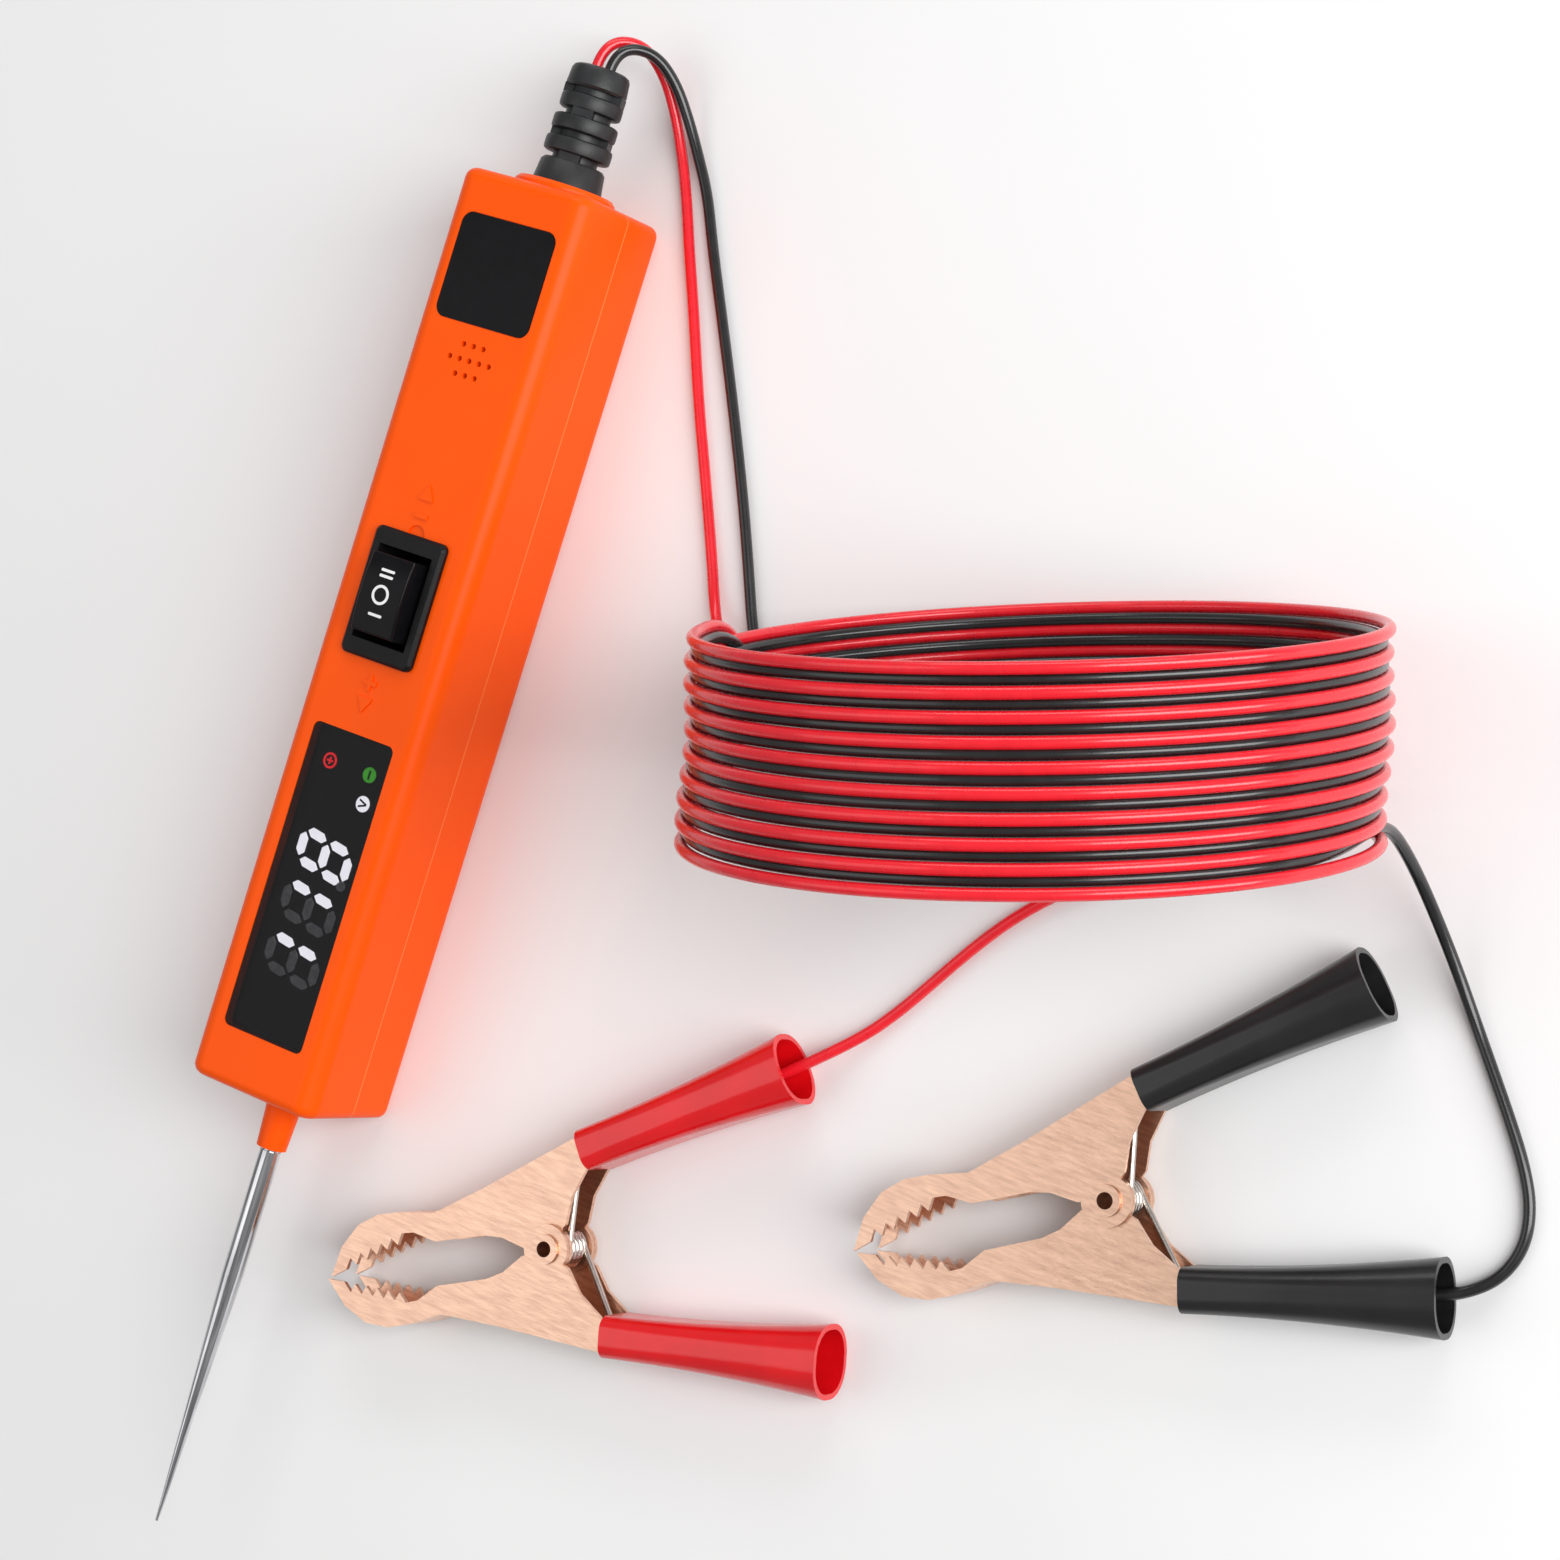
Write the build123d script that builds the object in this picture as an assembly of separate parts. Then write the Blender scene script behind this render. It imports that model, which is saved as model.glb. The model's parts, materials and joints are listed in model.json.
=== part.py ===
"""Circuit test light: a hand probe with a rocker switch and a display, two leads and two battery clamps.

Millimetres. The probe lies on its back on z = 0, its needle points to -Y, its face looks up, and the
origin is under the middle of the probe. The clamps lie on their sides to its right, and the spare lead is
wound in a coil that stands on its rim.
"""
import math
import os

from build123d import *

# --- case -----------------------------------------------------------------------------------------
CASE_WIDTH = 25.0
CASE_HEIGHT = 24.0
TIP_END = -49.5
CABLE_END = 102.5
PARTING = 11.0
WALL = 2.0
AXIS_HEIGHT = 12.0
FACE_ROUND = 3.2
BACK_ROUND = 2.2
END_ROUND = 1.8
COLLAR_RADIUS = 8.3
COLLAR_OUT = 1.4
POST_PLACES = [(x, y) for x in (-8.2, 8.2) for y in (TIP_END + 4.9, CABLE_END - 4.9)]
POST_RADIUS = 2.25
SCREW_RADIUS = 1.0
SCREW_HEAD = 2.0

# --- probe tip and strain relief ------------------------------------------------------------------
NEEDLE_RADIUS = 1.75
NEEDLE_OUT = 65.0
NEEDLE_STRAIGHT = 22.0
NEEDLE_TANG = 1.5
NEEDLE_GROOVE = 0.5
NEEDLE_POINT = 0.25
NOSE_OUT = 9.0
NOSE_RADII = (3.0, 2.5)
NEEDLE_INNER_END = TIP_END + 13.0
BOOT_OUT = 21.0
BOOT_RADII = (5.9, 4.8)
BOOT_NECK = 5.0
BOOT_FLANGE = 5.8
BOOT_SLOTS = 8

# --- face features --------------------------------------------------------------------------------
SWITCH_Y = 33.6
BEZEL_SIZE = (13.8, 21.0)
BEZEL_TALL = 1.3
CUTOUT_SIZE = (12.2, 19.4)
BEZEL_OPENING = (10.4, 15.4)
ROCKER_SIZE = (8.2, 12.9)
ROCKER_TOP = (27.9, 28.5)
ROCKER_AXIS_Z = 20.5
ROCKER_LOW = 17.6
WINDOW_SIZE = (16.0, 51.2)
WINDOW_Y = -14.4
WINDOW_THICK = 1.5
LABEL_SIZE = (18.2, 17.3)
LABEL_Y = 86.9
LABEL_THICK = 0.35
SOUND_Y = 72.7
SOUND_HOLE = 0.45
MARK_TALL = 0.3

# --- display --------------------------------------------------------------------------------------
DIGIT_TALL = 11.0
DIGIT_WIDE = 6.4
DIGIT_PITCH = 8.8
DIGIT_SLANT = math.radians(8.5)
SEGMENT_WIDE = 1.55
SEGMENT_GAP = 0.5
SEGMENT_TALL = 0.25
MODULE_TOP = 22.0
FIRST_DIGIT_Y = -26.8
READING = ("bc", "bc", "abcdefg")

# --- leads and their coil -------------------------------------------------------------------------
LEAD = 1.8
LEAD_Z = LEAD / 2 + 0.05
LEAD_GAP = 1.3
COIL_CENTRE = (116.8, 45.5)
COIL_TURN = math.radians(18.7)
COIL_OUTER = (50.1, 39.2)
COIL_INSET = 0.85
COIL_HALF = 17.4
COIL_LEAN = 0.2

# --- clamps ---------------------------------------------------------------------------------------
CLAMP_Z = 5.75
PLATE = 0.8
OUTER_WIDE = 9.6
INNER_WIDE = 7.8
RIVET_RADIUS = 1.7
RIVET_BORE = 1.25
EAR_RADIUS = 3.9
SPRING_WIRE = 1.1
SPRING_RADIUS = 2.9
SPRING_TURNS = 4
SPRING_LEG = (6.8, 14.0)
GRIP_START = (8.2, 14.5)
GRIP_END = (44.5, 22.2)
GRIP_WALL = 0.85
RED_CLAMP = (53.3, -55.8, 27.4)
BLACK_CLAMP = (138.3, -15.8, 31.3)

made = {}


def node(name, *solids):
    """Keep one node's solids under its name."""
    made[name] = Compound(children=list(solids)) if len(solids) > 1 else solids[0]


def bar(sketch_xy, low, high):
    """Extrude a flat sketch from one height to another."""
    return extrude(Pos(0, 0, low) * sketch_xy, amount=high - low)


def along_y(radius, start, end, x=0.0, z=AXIS_HEIGHT):
    """A cylinder along Y."""
    return Pos(x, (start + end) / 2, z) * Rot(90, 0, 0) * Cylinder(radius, abs(end - start))


def post(radius, low, high, x, y):
    """A cylinder along Z."""
    return Pos(x, y, (low + high) / 2) * Cylinder(radius, high - low)


def turned_y(profile):
    """Turn (distance along Y, radius) points about the probe's axis."""
    points = [(profile[0][0], 0.0)] + list(profile) + [(profile[-1][0], 0.0)]
    outline = make_face(Polyline([(r, y) for y, r in points], close=True))
    return Pos(0, 0, AXIS_HEIGHT) * revolve(outline, Axis.Y)


# === case =========================================================================================
def case_block():
    """The whole outside of the case, with the low collar round the strain relief."""
    profile = Rectangle(CASE_WIDTH, CASE_HEIGHT)
    profile = fillet(profile.vertices().group_by(Axis.Y)[-1], FACE_ROUND)
    profile = fillet(profile.vertices().sort_by(Axis.Y)[:2], BACK_ROUND)
    block = extrude(Plane.XZ * Pos(0, CASE_HEIGHT / 2) * profile, amount=CABLE_END - TIP_END)
    block = Pos(0, CABLE_END, 0) * block
    ends = [edge for face in block.faces().filter_by(Axis.Y) for edge in face.edges()]
    block = fillet(ends, END_ROUND)
    collar = along_y(COLLAR_RADIUS, CABLE_END - 1, CABLE_END + COLLAR_OUT)
    collar = chamfer(collar.edges().sort_by(Axis.Y)[-1], 0.6)
    return block + collar


def hollow_case():
    """The case wall, open where the nose and the strain relief pass."""
    inside = (CASE_WIDTH - 2 * WALL, CABLE_END - TIP_END - 2 * WALL, CASE_HEIGHT - 2 * WALL)
    cavity = Pos(0, (CABLE_END + TIP_END) / 2, CASE_HEIGHT / 2) * Box(*inside)
    shell = case_block() - cavity
    shell -= along_y(NOSE_RADII[0], TIP_END - 1, TIP_END + WALL + 1)
    shell -= along_y(BOOT_NECK, CABLE_END - WALL - 1, CABLE_END + 5)
    shell -= along_y(BOOT_RADII[0] + 0.1, CABLE_END, CABLE_END + 5)
    return shell


def sound_hole_places():
    """Three, five and three small holes over the buzzer."""
    rows = ((2.4, 3), (0.0, 5), (-2.4, 3))
    return [((i - (count - 1) / 2) * 1.9, SOUND_Y + dy) for dy, count in rows for i in range(count)]


def face_marks():
    """The raised marks in line with the rocker."""
    marks = []
    low = CASE_HEIGHT - 0.2
    high = CASE_HEIGHT + MARK_TALL
    marks.append(bar(Pos(0, 50.6) * Rot(0, 0, 90) * RegularPolygon(1.7, 3), low, high))
    marks.append(bar(Pos(0, 47.2) * Rectangle(2.6, 0.7), low, high))
    marks.append(bar(Pos(0, 19.6) * (Rectangle(2.6, 0.7) + Rectangle(0.7, 2.6)), low, high))
    marks.append(bar(Pos(0, 16.4) * Rot(0, 0, -90) * RegularPolygon(1.7, 3), low, high))
    return marks


def build_case():
    shell = hollow_case()
    half = Pos(0, (CABLE_END + TIP_END) / 2, PARTING + 25) * Box(60, 200, 50)
    front = shell & half
    back = shell - half
    for x, y in POST_PLACES:
        front += post(POST_RADIUS, PARTING, CASE_HEIGHT - WALL + 0.2, x, y)
        back += post(POST_RADIUS, WALL - 0.2, PARTING, x, y)
    for x, y in POST_PLACES:
        front -= post(SCREW_RADIUS, PARTING - 1, CASE_HEIGHT - WALL - 2, x, y)
        back -= post(SCREW_RADIUS, -1, PARTING + 1, x, y)
        back -= post(SCREW_HEAD + 0.1, -1, WALL + 0.4, x, y)
    for mark in face_marks():
        front += mark
    front -= bar(Pos(0, SWITCH_Y) * Rectangle(*CUTOUT_SIZE), CASE_HEIGHT - 4, CASE_HEIGHT + 2)
    front -= bar(Pos(0, WINDOW_Y) * RectangleRounded(*WINDOW_SIZE, 1.2), CASE_HEIGHT - 4, CASE_HEIGHT + 2)
    front -= bar(Pos(0, LABEL_Y) * RectangleRounded(*LABEL_SIZE, 2), CASE_HEIGHT - 0.3, CASE_HEIGHT + 2)
    front -= post(1.6, CASE_HEIGHT - 0.4, CASE_HEIGHT + 1, 0, SWITCH_Y + BEZEL_SIZE[1] / 2)
    for x, y in sound_hole_places():
        front -= post(SOUND_HOLE, CASE_HEIGHT - 4, CASE_HEIGHT + 1, x, y)
    for y in BOARD_SCREWS:
        back += post(2.4, WALL - 0.2, BOARD_LOW, 0, y)
        back -= post(0.8, WALL + 1, BOARD_LOW + 1, 0, y)
    node("front_shell", front)
    node("back_shell", back)
    screws = []
    for x, y in POST_PLACES:
        screw = post(SCREW_HEAD, 0.6, WALL + 0.4, x, y) + post(SCREW_RADIUS, WALL, PARTING + 6, x, y)
        screw -= Pos(x, y, 0.6) * (Box(2.4, 0.6, 1.2) + Box(0.6, 2.4, 1.2))
        screws.append(screw)
    node("case_screws", *screws)
    node("front_label", bar(Pos(0, LABEL_Y) * RectangleRounded(LABEL_SIZE[0] - 0.2, LABEL_SIZE[1] - 0.2, 1.9),
                            CASE_HEIGHT - 0.3, CASE_HEIGHT - 0.3 + LABEL_THICK))


# === tip and strain relief ========================================================================
def build_tip():
    flange = TIP_END + WALL
    holder = turned_y([(TIP_END - NOSE_OUT, NOSE_RADII[1]), (TIP_END, NOSE_RADII[0]), (flange, NOSE_RADII[0]),
                       (flange, 4.6), (flange + 3, 4.6)])
    holder -= along_y(NEEDLE_TANG, TIP_END - NOSE_OUT - 1, flange + 5)
    node("tip_holder", holder)
    out = TIP_END - NOSE_OUT
    shoulder = out - NEEDLE_GROOVE
    node("probe_needle", turned_y([(NEEDLE_INNER_END, NEEDLE_TANG), (shoulder, NEEDLE_TANG),
                                   (shoulder, NEEDLE_RADIUS), (out - NEEDLE_STRAIGHT, NEEDLE_RADIUS),
                                   (out - NEEDLE_OUT, NEEDLE_POINT)]))
    terminal = along_y(2.5, flange + 3.2, NEEDLE_INNER_END) - along_y(NEEDLE_TANG, flange + 3, 0)
    terminal += Pos(0, NEEDLE_INNER_END - 2, AXIS_HEIGHT - 3.2) * Box(3, 3.6, 2.4)
    terminal -= along_y(NEEDLE_TANG, flange + 3, 0)
    node("tip_terminal", terminal)


def build_boot():
    inner = CABLE_END - WALL
    boot = turned_y([(inner - 2, BOOT_FLANGE), (inner, BOOT_FLANGE), (inner, BOOT_NECK),
                     (CABLE_END, BOOT_NECK), (CABLE_END, BOOT_RADII[0]), (CABLE_END + BOOT_OUT, BOOT_RADII[1])])
    for side in (-LEAD_GAP, LEAD_GAP):
        boot -= along_y(LEAD / 2, inner - 5, CABLE_END + BOOT_OUT + 1, x=side)
    for i in range(BOOT_SLOTS):
        side = 1 if i % 2 else -1
        y = CABLE_END + 4.2 + i * 2.0
        boot -= Pos(side * 6.0, y, AXIS_HEIGHT) * Box(6.4, 1.1, 14)
    node("strain_relief", boot)


# === switch =======================================================================================
def build_switch():
    top = CASE_HEIGHT + BEZEL_TALL
    bezel = bar(RectangleRounded(*BEZEL_SIZE, 1.2), CASE_HEIGHT, top)
    bezel = chamfer(bezel.edges().group_by(Axis.Z)[-1], 0.5)
    bezel -= bar(Rectangle(*BEZEL_OPENING), CASE_HEIGHT - 1, top + 1)
    node("switch_bezel", Pos(0, SWITCH_Y, 0) * bezel)
    low = 11.0
    body = bar(Rectangle(CUTOUT_SIZE[0], CUTOUT_SIZE[1]), low, CASE_HEIGHT)
    body -= bar(Rectangle(*BEZEL_OPENING), low + 2.5, CASE_HEIGHT + 1)
    body -= Pos(0, 0, ROCKER_AXIS_Z) * Rot(0, 90, 0) * Cylinder(1.0, CUTOUT_SIZE[0] + 2)
    node("switch_body", Pos(0, SWITCH_Y, 0) * body)
    blades = [Pos(0, SWITCH_Y + dy, low - 1.2) * Box(4.8, 0.8, 2.4) for dy in (-6, 0, 6)]
    node("switch_terminals", *blades)
    node("rocker", Pos(0, SWITCH_Y, 0) * rocker_cap())


def rocker_cap():
    """The rocker: a tall cap with a gently crowned top, the pins that it turns on, and its plunger."""
    wide, long = ROCKER_SIZE
    ends, crown = ROCKER_TOP
    top = ThreePointArc((-long / 2, ends), (0, crown), (long / 2, ends))
    sides = Polyline([(long / 2, ends), (long / 2, ROCKER_LOW + 3), (5.0, ROCKER_LOW), (-5.0, ROCKER_LOW),
                      (-long / 2, ROCKER_LOW + 3), (-long / 2, ends)])
    cap = extrude(Plane.YZ * make_face(top + sides), amount=wide / 2, both=True)
    cap = fillet(cap.edges().group_by(Axis.Z)[-1] + cap.edges().filter_by(Axis.X).group_by(Axis.Z)[-1], 0.4)
    pins = Pos(0, 0, ROCKER_AXIS_Z) * Rot(0, 90, 0) * Cylinder(0.95, CUTOUT_SIZE[0] - 0.4)
    plunger = Pos(0, 0, ROCKER_LOW - 1) * Cylinder(1.2, 3)
    return cap + pins + plunger


# === electronics ==================================================================================
BOARD_LOW = 6.6
BOARD_THICK = 1.6
BOARD_ENDS = (-35.0, 91.0)
BOARD_SCREWS = (-2.0, 56.0)
DISPLAY_BOARD_LOW = 14.6


def build_boards():
    centre = sum(BOARD_ENDS) / 2
    board = Pos(0, centre, BOARD_LOW + BOARD_THICK / 2) * Box(19, BOARD_ENDS[1] - BOARD_ENDS[0], BOARD_THICK)
    screws = []
    for y in BOARD_SCREWS:
        board -= post(0.8, 0, 20, 0, y)
        screws.append(post(0.8, WALL + 2, BOARD_LOW + BOARD_THICK, 0, y)
                      + post(1.7, BOARD_LOW + BOARD_THICK, BOARD_LOW + BOARD_THICK + 1.1, 0, y))
    node("main_board", board)
    node("board_screws", *screws)
    top = BOARD_LOW + BOARD_THICK
    node("control_chip", Pos(0, 8, top + 0.6) * Box(7, 7, 1.2))
    node("power_capacitor", post(3.0, top, top + 9, 0, 84.0))
    node("display_board", Pos(0, WINDOW_Y, DISPLAY_BOARD_LOW + 0.6) * Box(18, 54, 1.2))
    pin = Box(0.64, 0.64, DISPLAY_BOARD_LOW - top)
    pin_z = (top + DISPLAY_BOARD_LOW) / 2
    pins = [Pos(x, WINDOW_Y - 15 + i * 2.54, pin_z) * pin for x in (-8.0, 8.0) for i in range(6)]
    node("display_pins", *pins)
    node("display_module", Pos(0, WINDOW_Y, (DISPLAY_BOARD_LOW + 1.2 + MODULE_TOP) / 2)
         * Box(15.6, 50.0, MODULE_TOP - DISPLAY_BOARD_LOW - 1.2))
    pane = RectangleRounded(WINDOW_SIZE[0] - 0.1, WINDOW_SIZE[1] - 0.1, 1.15)
    node("display_window", bar(Pos(0, WINDOW_Y) * pane, CASE_HEIGHT - WINDOW_THICK - 0.15, CASE_HEIGHT - 0.15))
    buzzer = post(6.0, CASE_HEIGHT - WALL - 6, CASE_HEIGHT - WALL - 0.5, 0, SOUND_Y)
    buzzer -= post(1.0, CASE_HEIGHT - WALL - 2, CASE_HEIGHT - WALL, 0, SOUND_Y)
    node("buzzer", buzzer)


def segment(name):
    """One of a digit's seven segments, in digit axes with x to the right and y up."""
    half_wide = DIGIT_WIDE / 2 - SEGMENT_WIDE / 2
    half_tall = DIGIT_TALL / 2 - SEGMENT_WIDE / 2
    across = {"a": half_tall, "g": 0.0, "d": -half_tall}
    if name in across:
        length = 2 * half_wide - 2 * SEGMENT_GAP
        centre = (0.0, across[name])
        turn = 0
    else:
        length = half_tall - 2 * SEGMENT_GAP
        side = 1 if name in "bc" else -1
        level = 1 if name in "bf" else -1
        centre = (side * half_wide, level * half_tall / 2)
        turn = 90
    s = SEGMENT_WIDE / 2
    outline = Polyline([(-length / 2, 0), (-length / 2 + s, s), (length / 2 - s, s), (length / 2, 0),
                        (length / 2 - s, -s), (-length / 2 + s, -s)], close=True)
    return Pos(*centre) * Rot(0, 0, turn) * make_face(outline)


def on_display(flat, y):
    """Slant a digit's flat shape and lay it on the display, reading towards the cable with its top to -X."""
    shear = math.tan(DIGIT_SLANT)
    outer = [(v.X + v.Y * shear, v.Y) for v in flat.vertices()]
    centre_x = sum(p[0] for p in outer) / len(outer)
    centre_y = sum(p[1] for p in outer) / len(outer)
    outer.sort(key=lambda p: math.atan2(p[1] - centre_y, p[0] - centre_x))
    outline = [(-v, y + h) for h, v in outer]
    return bar(make_face(Polyline(outline, close=True)), MODULE_TOP, MODULE_TOP + SEGMENT_TALL)


def build_digits():
    lit = []
    dark = []
    for i, shown in enumerate(READING):
        y = FIRST_DIGIT_Y + i * DIGIT_PITCH
        for name in "abcdefg":
            (lit if name in shown else dark).append(on_display(segment(name), y))
    dot = post(0.8, MODULE_TOP, MODULE_TOP + SEGMENT_TALL, 4.7, FIRST_DIGIT_Y + 1.6 * DIGIT_PITCH)
    dark.append(dot)
    node("lit_segments", *lit)
    node("dark_segments", *dark)
    for name, x, y in (("plus_light", -4.2, 5.6), ("minus_light", 3.8, 5.6), ("volt_light", 4.2, 0.9)):
        node(name, post(1.7, MODULE_TOP, MODULE_TOP + SEGMENT_TALL, x, y))


# === leads ========================================================================================
def route(*points):
    return [Vector(*p) for p in points]


def coil_point(v, u, z):
    """A point given across the coil (v), along its axis (u) and up (z), on turns that lean over."""
    u -= COIL_LEAN * (z - COIL_OUTER[1])
    x = COIL_CENTRE[0] + v * math.cos(COIL_TURN) - u * math.sin(COIL_TURN)
    y = COIL_CENTRE[1] + v * math.sin(COIL_TURN) + u * math.cos(COIL_TURN)
    return (x, y, z)


def cord_tube(name, points, diameter=LEAD):
    """A round cord along straight runs joined by the largest arcs that they allow."""
    radii = []
    for before, here, after in zip(points, points[1:], points[2:]):
        turn = math.radians((here - before).get_angle(after - here))
        shorter = min((here - before).length, (after - here).length)
        radii.append(0.45 * shorter / math.tan(turn / 2))
    path = FilletPolyline(*points, radius=radii)
    start = Plane(origin=points[0], z_dir=points[1] - points[0])
    tube = sweep(start * Circle(diameter / 2), path=path)
    expected = math.pi * diameter ** 2 / 4 * path.length
    print(f"{name}: length {path.length:.1f}, volume {tube.volume / expected:.4f} of expected, "
          f"radii {min(radii):.1f} to {max(radii):.0f}, least {[round(r, 1) for r in sorted(radii)[:4]]}")
    return tube


RED_IN = route(
    (-1.3, 123.5, 12.0), (-1.1, 126.4, 12.1), (0.6, 129.0, 10.6), (3.8, 129.3, 7.8), (6.9, 126.2, 5.2),
    (9.4, 121.3, 2.8), (11.9, 115.6, 1.3), (15.2, 108.6, LEAD_Z), (18.6, 100.6, LEAD_Z), (23.2, 90.4, LEAD_Z),
    (28.4, 78.2, LEAD_Z), (34.4, 65.6, LEAD_Z), (39.6, 54.4, LEAD_Z), (42.9, 47.4, 1.5), (46.6, 43.4, 4.0),
    (51.4, 41.7, 8.2), (56.8, 42.2, 13.6), (61.6, 43.2, 20.6), (64.6, 43.9, 29.6),
    coil_point(-(COIL_OUTER[0] - LEAD / 2), 15.2, COIL_OUTER[1]))
BLACK_IN = route(
    (1.3, 123.5, 12.0), (1.5, 126.0, 12.1), (3.3, 128.3, 10.7), (6.5, 128.3, 8.0), (9.6, 125.3, 5.4),
    (12.3, 120.7, 3.0), (15.2, 115.6, 1.5), (18.9, 109.7, LEAD_Z), (22.6, 102.0, LEAD_Z), (28.0, 91.8, LEAD_Z),
    (34.5, 79.4, LEAD_Z), (41.4, 65.6, LEAD_Z), (46.9, 53.6, LEAD_Z), (50.2, 46.0, LEAD_Z), (53.6, 40.6, LEAD_Z),
    (58.2, 37.8, 2.6), (62.6, 38.4, 8.2), (65.6, 40.8, 17.0), (66.7, 42.4, 28.0),
    coil_point(-(COIL_OUTER[0] - LEAD / 2 - COIL_INSET), 13.6, COIL_OUTER[1]))
RED_OUT = route(
    coil_point(18.0, -15.8, 3.6), (131.0, 39.6, 1.6), (126.0, 35.2, LEAD_Z), (121.6, 30.4, LEAD_Z),
    (116.8, 26.0, LEAD_Z), (111.6, 21.6, LEAD_Z), (106.7, 16.4, LEAD_Z), (102.3, 10.4, LEAD_Z),
    (98.2, 4.0, LEAD_Z), (94.2, -2.2, LEAD_Z), (90.0, -7.8, 1.6), (82.4, -15.2, 3.3), (76.0, -21.1, 4.8),
    (69.2, -26.7, CLAMP_Z))
BLACK_OUT = route(
    coil_point(46.0, -13.76, 27.7), (164.2, 48.0, 21.0), (165.4, 45.6, 15.0), (167.4, 42.0, 9.8),
    (170.4, 37.2, 5.6), (174.2, 31.6, 2.6), (178.4, 25.6, LEAD_Z), (183.0, 19.8, LEAD_Z), (187.4, 14.2, LEAD_Z),
    (191.2, 9.0, LEAD_Z), (194.0, 3.8, LEAD_Z), (194.9, -1.8, LEAD_Z), (193.2, -7.0, 1.2), (189.2, -10.7, 1.9),
    (183.6, -13.2, 3.0), (177.2, -15.5, 4.6), (170.5, -17.8, CLAMP_Z))


def build_leads():
    node("red_lead_from_probe", cord_tube("red_lead_from_probe", RED_IN))
    node("black_lead_from_probe", cord_tube("black_lead_from_probe", BLACK_IN))
    node("red_lead_to_clamp", cord_tube("red_lead_to_clamp", RED_OUT))
    node("black_lead_to_clamp", cord_tube("black_lead_to_clamp", BLACK_OUT))
    stretch = math.hypot(1.0, COIL_LEAN)
    ring = Ellipse(COIL_OUTER[0], COIL_OUTER[1] * stretch)
    ring -= Ellipse(COIL_OUTER[0] - LEAD, (COIL_OUTER[1] - LEAD) * stretch)
    leaning = Plane(origin=(0, -COIL_HALF, 0), x_dir=(1, 0, 0), z_dir=(0, -1, -COIL_LEAN))
    coil = extrude(leaning * ring, amount=2 * COIL_HALF, dir=(0, 1, 0))
    place = Pos(COIL_CENTRE[0], COIL_CENTRE[1], COIL_OUTER[1] + 0.05) * Rot(0, 0, math.degrees(COIL_TURN))
    node("wound_leads", place * coil)


def build_inner_wires():
    top = BOARD_LOW + BOARD_THICK + LEAD / 2
    start = CABLE_END - WALL - 2
    for name, x, far in (("red_inner_wire", LEAD_GAP, 66.0), ("black_inner_wire", -LEAD_GAP, 70.0)):
        side = -x
        points = route((side, start, AXIS_HEIGHT), (side, start - 3, AXIS_HEIGHT),
                       (side * 4.2, start - 9, top + 0.1), (side * 5.0, far + 6, top),
                       (side * 5.4, far, top + 0.2))
        node(name, cord_tube(name, points, LEAD - 0.1))
    points = route((0, NEEDLE_INNER_END, 9.0), (0.1, NEEDLE_INNER_END + 3, 9.2),
                   (3.5, NEEDLE_INNER_END + 7, top + 0.3), (5.0, NEEDLE_INNER_END + 14, top + 0.3))
    node("tip_wire", cord_tube("tip_wire", points, 1.5))


# === clamps =======================================================================================
OUTER_EDGE = [(-41.0, 0.15), (-38.4, 4.7), (-34.8, 7.8), (-30.8, 9.0), (-26.6, 8.9), (-20.4, 8.0),
              (-10.6, 10.8), (7.4, 16.7), (33.4, 22.1)]
INNER_EDGE = [(34.2, 18.3), (9.0, 12.2), (5.2, 7.5), (3.6, 3.4), (0.0, 0.2), (-4.4, 0.6), (-8.2, 2.7),
              (-11.4, 3.4), (-20.6, 3.5), (-24.6, 5.4)]
TOOTH_COUNT = 6


def tooth_edge():
    """The jaw's teeth, from the back of the mouth to its tip."""
    points = []
    for i in reversed(range(TOOTH_COUNT)):
        x = -38.0 + 2.05 * i
        tip = 1.0 + 0.55 * i
        points.append((x + 1.0, tip + 1.75))
        points.append((x, tip))
    return points


def inset(points, amount):
    """Move an open outline to its right, each point along the mean of its edges' normals."""
    moved = []
    for i, (x, y) in enumerate(points):
        ax, ay = points[max(i - 1, 0)]
        bx, by = points[min(i + 1, len(points) - 1)]
        length = math.hypot(bx - ax, by - ay)
        moved.append((x + amount * (by - ay) / length, y - amount * (bx - ax) / length))
    return moved


def jaw(wide, hole):
    """A stamped channel: two side plates with an ear and teeth, joined by a web along the outer edge."""
    outline = make_face(Polyline(OUTER_EDGE + INNER_EDGE + tooth_edge(), close=True)) + Circle(EAR_RADIUS)
    block = bar(outline, -wide / 2, wide / 2)
    under_web = inset(OUTER_EDGE, PLATE)
    hollow = [(-45.0, under_web[0][1] - 1.4)] + under_web[1:] + [(40.0, 23.2), (40.0, -20.0), (-45.0, -20.0)]
    block -= bar(make_face(Polyline(hollow, close=True)), -wide / 2 + PLATE, wide / 2 - PLATE)
    return block - Cylinder(hole, 30)


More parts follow.
